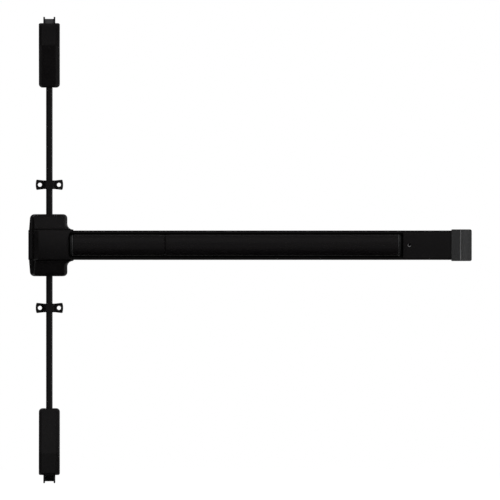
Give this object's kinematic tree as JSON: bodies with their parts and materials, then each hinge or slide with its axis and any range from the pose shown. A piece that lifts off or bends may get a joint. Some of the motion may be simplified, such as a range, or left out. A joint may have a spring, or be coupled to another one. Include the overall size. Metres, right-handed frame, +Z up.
{
  "type": "vertical rod exit device",
  "caption": "Surface vertical rod exit device: push pad on a rail, centre case with two lifters, hexagonal rods, rod guides, top and bottom latches.",
  "frame": {"origin": "back of the centre case's mounting plate, where the rods' line crosses the push bar's centre line", "axes": "+X along the push bar towards the end cap, +Y into the door, +Z up along the rods"},
  "size_m": [0.8604, 0.064, 0.905],
  "materials": {
    "black_coat": "semi-gloss black powder coat",
    "black_rail": "satin black coat on an extrusion",
    "black_pad": "semi-gloss black coat on an extrusion",
    "black_rod": "satin black coat",
    "black_steel": "black oxide",
    "pad_cap": "satin dark grey",
    "charcoal_cap": "satin charcoal",
    "latch_steel": "dull plated steel",
    "bolt_steel": "satin steel",
    "bare_steel": "machined steel",
    "zinc_steel": "zinc plated steel",
    "spring_steel": "oiled spring steel"
  },
  "bodies": {
    "device_frame": {"mounting_plate": "zinc_steel", "centre_cover": "black_coat", "mechanism_case": "black_rail", "base_plate": "black_steel", "left_crank_bracket": "zinc_steel", "right_crank_bracket": "zinc_steel", "left_crank_pin": "bare_steel", "right_crank_pin": "bare_steel", "upper_lifter_pin": "bare_steel", "lower_lifter_pin": "bare_steel", "cover_plate": "black_rail", "dogging_block": "zinc_steel", "end_cap": "charcoal_cap", "end_cap_bracket": "zinc_steel", "top_guide": "black_coat", "bottom_guide": "black_coat", "top_latch_frame": "latch_steel", "bottom_latch_frame": "black_steel", "top_latch_cover": "black_coat", "bottom_latch_cover": "black_coat", "top_latch_spring": "spring_steel", "bottom_latch_spring": "spring_steel"},
    "push_pad": {"touch_bar": "black_pad", "pad_left_cap": "pad_cap", "pad_right_cap": "pad_cap", "left_pad_bracket": "zinc_steel", "right_pad_bracket": "zinc_steel"},
    "left_crank": {"left_bell_crank": "bare_steel"},
    "right_crank": {"right_bell_crank": "bare_steel"},
    "drive": {"drive_bar": "zinc_steel", "drive_yoke": "zinc_steel"},
    "upper_lift": {"upper_lifter": "bare_steel"},
    "lower_lift": {"lower_lifter": "bare_steel"},
    "top_rod_set": {"top_rod": "black_rod", "top_rod_clevis": "zinc_steel", "top_rod_lower_nut": "bare_steel", "top_rod_upper_nut": "bare_steel", "top_bolt": "bolt_steel"},
    "bottom_rod_set": {"bottom_rod": "black_rod", "bottom_rod_clevis": "zinc_steel", "bottom_rod_lower_nut": "bare_steel", "bottom_rod_upper_nut": "bare_steel", "bottom_bolt": "black_steel"},
    "dogging": {"dogging_screw": "bare_steel"}
  },
  "joints": [
    {"name": "pad_press", "type": "slide", "parent": "device_frame", "child": "push_pad", "axis": [0, 1, 0], "range_m": [0, 0.016], "stiffness_N_per_m": 1200, "springref_m": -0.008},
    {"name": "left_crank_turn", "type": "hinge", "parent": "device_frame", "child": "left_crank", "pos_m": [0.15, -0.026, 0], "axis": [0, 0, -1], "range_deg": [0, 39.2]},
    {"name": "right_crank_turn", "type": "hinge", "parent": "device_frame", "child": "right_crank", "pos_m": [0.56, -0.026, 0], "axis": [0, 0, -1], "range_deg": [0, 39.2]},
    {"name": "drive_slide", "type": "slide", "parent": "device_frame", "child": "drive", "axis": [1, 0, 0], "range_m": [0, 0.0094]},
    {"name": "upper_lifter_turn", "type": "hinge", "parent": "device_frame", "child": "upper_lift", "pos_m": [0.01792, -0.017, 0.017], "axis": [0, -1, 0], "range_deg": [0, 44.5]},
    {"name": "lower_lifter_turn", "type": "hinge", "parent": "device_frame", "child": "lower_lift", "pos_m": [0.01792, -0.017, -0.017], "axis": [0, 1, 0], "range_deg": [0, 44.5]},
    {"name": "top_rod_slide", "type": "slide", "parent": "device_frame", "child": "top_rod_set", "axis": [0, 0, -1], "range_m": [0, 0.01405], "deforming": ["top_latch_spring"]},
    {"name": "bottom_rod_slide", "type": "slide", "parent": "device_frame", "child": "bottom_rod_set", "axis": [0, 0, 1], "range_m": [0, 0.01405], "deforming": ["bottom_latch_spring"]},
    {"name": "dogging_turn", "type": "hinge", "parent": "device_frame", "child": "dogging", "pos_m": [0.699, -0.035, 0], "axis": [0, 1, 0], "range_deg": [0, 90]}
  ],
  "couplings": [
    {"joint": "left_crank_turn", "follows": "pad_press", "rad_per_m": 42.48},
    {"joint": "right_crank_turn", "follows": "pad_press", "rad_per_m": 42.48},
    {"joint": "drive_slide", "follows": "pad_press", "ratio": 0.58333},
    {"joint": "upper_lifter_turn", "follows": "pad_press", "rad_per_m": 48.231},
    {"joint": "lower_lifter_turn", "follows": "pad_press", "rad_per_m": 48.231},
    {"joint": "top_rod_slide", "follows": "pad_press", "ratio": 0.875},
    {"joint": "bottom_rod_slide", "follows": "pad_press", "ratio": 0.875}
  ]
}
